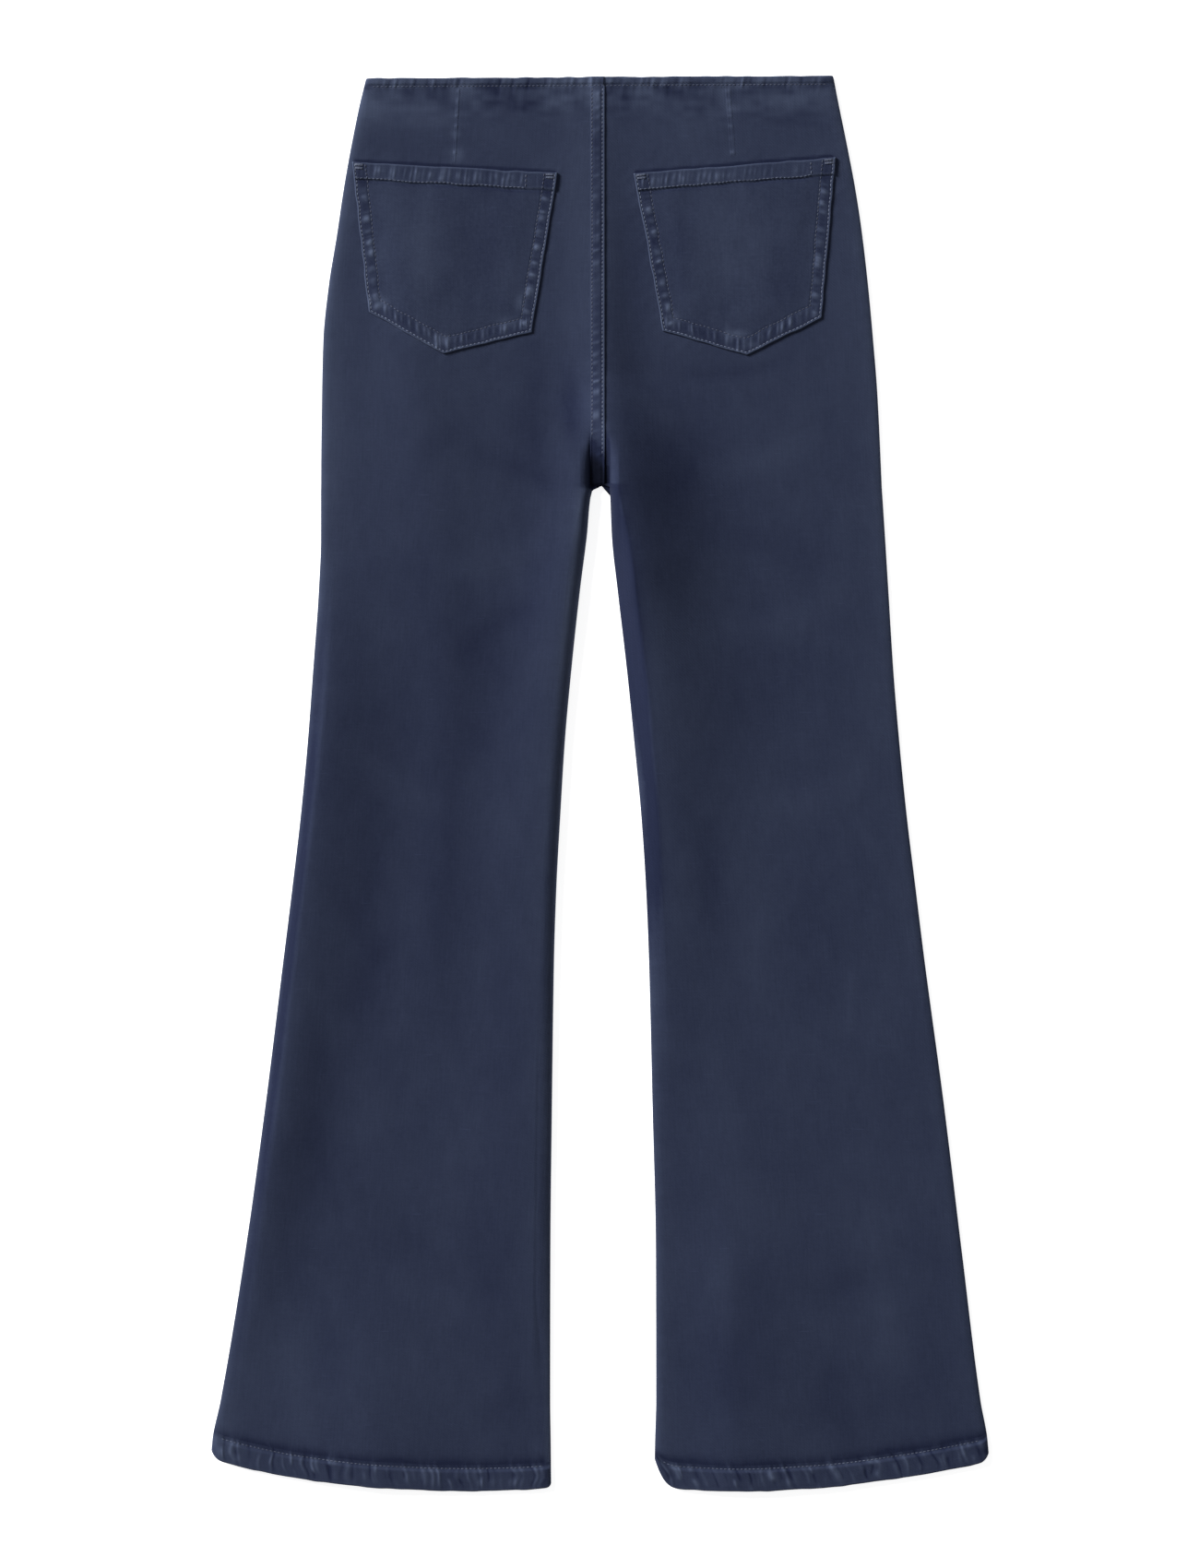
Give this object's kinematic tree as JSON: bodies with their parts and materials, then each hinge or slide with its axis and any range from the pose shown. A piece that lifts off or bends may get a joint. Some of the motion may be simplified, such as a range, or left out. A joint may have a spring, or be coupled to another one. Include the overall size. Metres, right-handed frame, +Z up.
{
  "type": "flared jeans",
  "caption": "High-waisted flared denim jeans with back patch pockets, laid flat with the back side up.",
  "frame": {"origin": "on the surface that the garment lies on, under the middle of its box", "axes": "+Y towards the waist, +X to the right as the garment lies with its back side up, +Z up out of the back side"},
  "size_m": [0.5899, 1.0739, 0.0231],
  "materials": {
    "denim": "matte twill, garment-dyed navy",
    "seam_denim": "matte twill, paler where sewn layers have worn"
  },
  "bodies": {
    "root": {"back_left": "denim", "back_right": "denim", "front_left": "denim", "front_right": "denim", "pocket_left": "denim", "pocket_right": "denim", "centre_back_seam": "seam_denim", "hem_left": "seam_denim", "hem_right": "seam_denim", "waist_edge": "seam_denim"}
  },
  "joints": []
}
